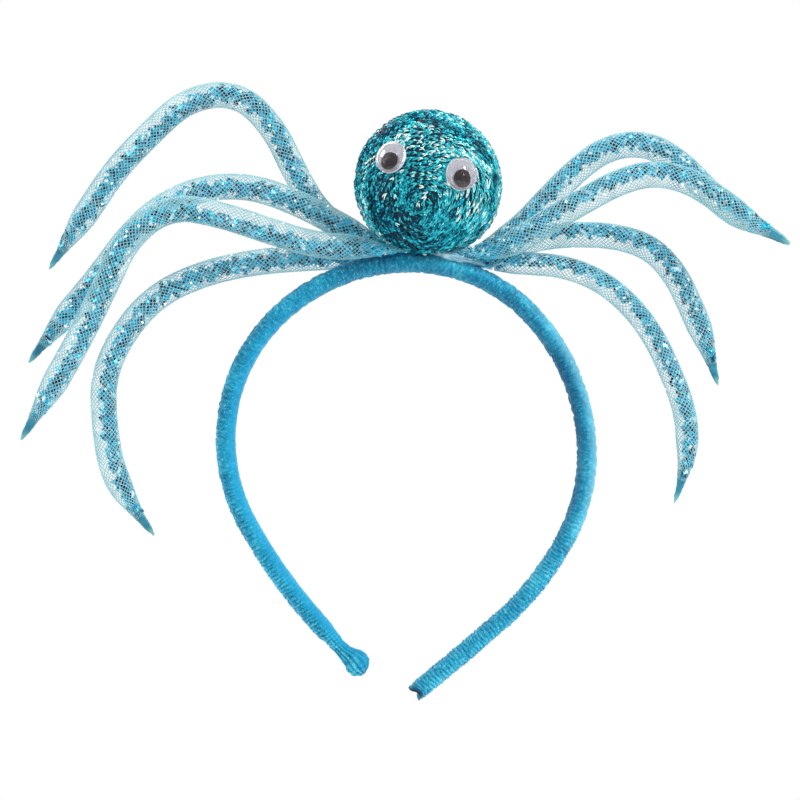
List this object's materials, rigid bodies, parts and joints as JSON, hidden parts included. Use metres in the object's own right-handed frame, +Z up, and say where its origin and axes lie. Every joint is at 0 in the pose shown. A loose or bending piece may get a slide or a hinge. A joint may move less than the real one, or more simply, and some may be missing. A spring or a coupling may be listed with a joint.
{
  "type": "octopus headband",
  "caption": "Costume headband: velvet-covered band with a metallic knit ball head, googly eyes and arching tinsel-filled net tentacles.",
  "frame": {"origin": "underside of the band's crown, in the middle of its depth, where the band sits on top of the head", "axes": "+X to the right as seen by someone who faces the eyes, -Y towards that person, +Z up"},
  "size_m": [0.2396, 0.0556, 0.1937],
  "materials": {
    "velvet": "gathered stretch velvet with a fine sparkle, in cyan blue",
    "lurex": "glittering metallic knit, teal",
    "glue": "clear hot glue",
    "eye_white": "plain white",
    "clear_dome": "clear, glossy",
    "pupil_black": "black",
    "net": "glossy see-through nylon net tube, pale cyan",
    "tinsel": "shredded metallic foil, blue"
  },
  "bodies": {
    "headband": {"velvet_band": "velvet", "body_ball": "lurex", "glue_bead": "glue", "eye_backing_left": "eye_white", "eye_dome_left": "clear_dome", "eye_backing_right": "eye_white", "eye_dome_right": "clear_dome", "tentacle_sleeve_left_1": "net", "tinsel_core_left_1": "tinsel", "tentacle_sleeve_left_2": "net", "tinsel_core_left_2": "tinsel", "tentacle_sleeve_left_3": "net", "tinsel_core_left_3": "tinsel", "tentacle_sleeve_left_4": "net", "tinsel_core_left_4": "tinsel", "tentacle_sleeve_right_1": "net", "tinsel_core_right_1": "tinsel", "tentacle_sleeve_right_2": "net", "tinsel_core_right_2": "tinsel", "tentacle_sleeve_right_3": "net", "tinsel_core_right_3": "tinsel", "tentacle_sleeve_right_4": "net", "tinsel_core_right_4": "tinsel"},
    "pupil_left": {"pupil_left": "pupil_black"},
    "pupil_right": {"pupil_right": "pupil_black"}
  },
  "joints": [
    {"name": "pupil_left_roll", "type": "hinge", "parent": "headband", "child": "pupil_left", "pos_m": [-0.00551, -0.01906, 0.03401], "axis": [-0.4806, -0.8325, 0.2756], "continuous": true},
    {"name": "pupil_right_roll", "type": "hinge", "parent": "headband", "child": "pupil_right", "pos_m": [0.01516, -0.02073, 0.0289], "axis": [0.422, -0.9051, 0.0523], "continuous": true}
  ]
}
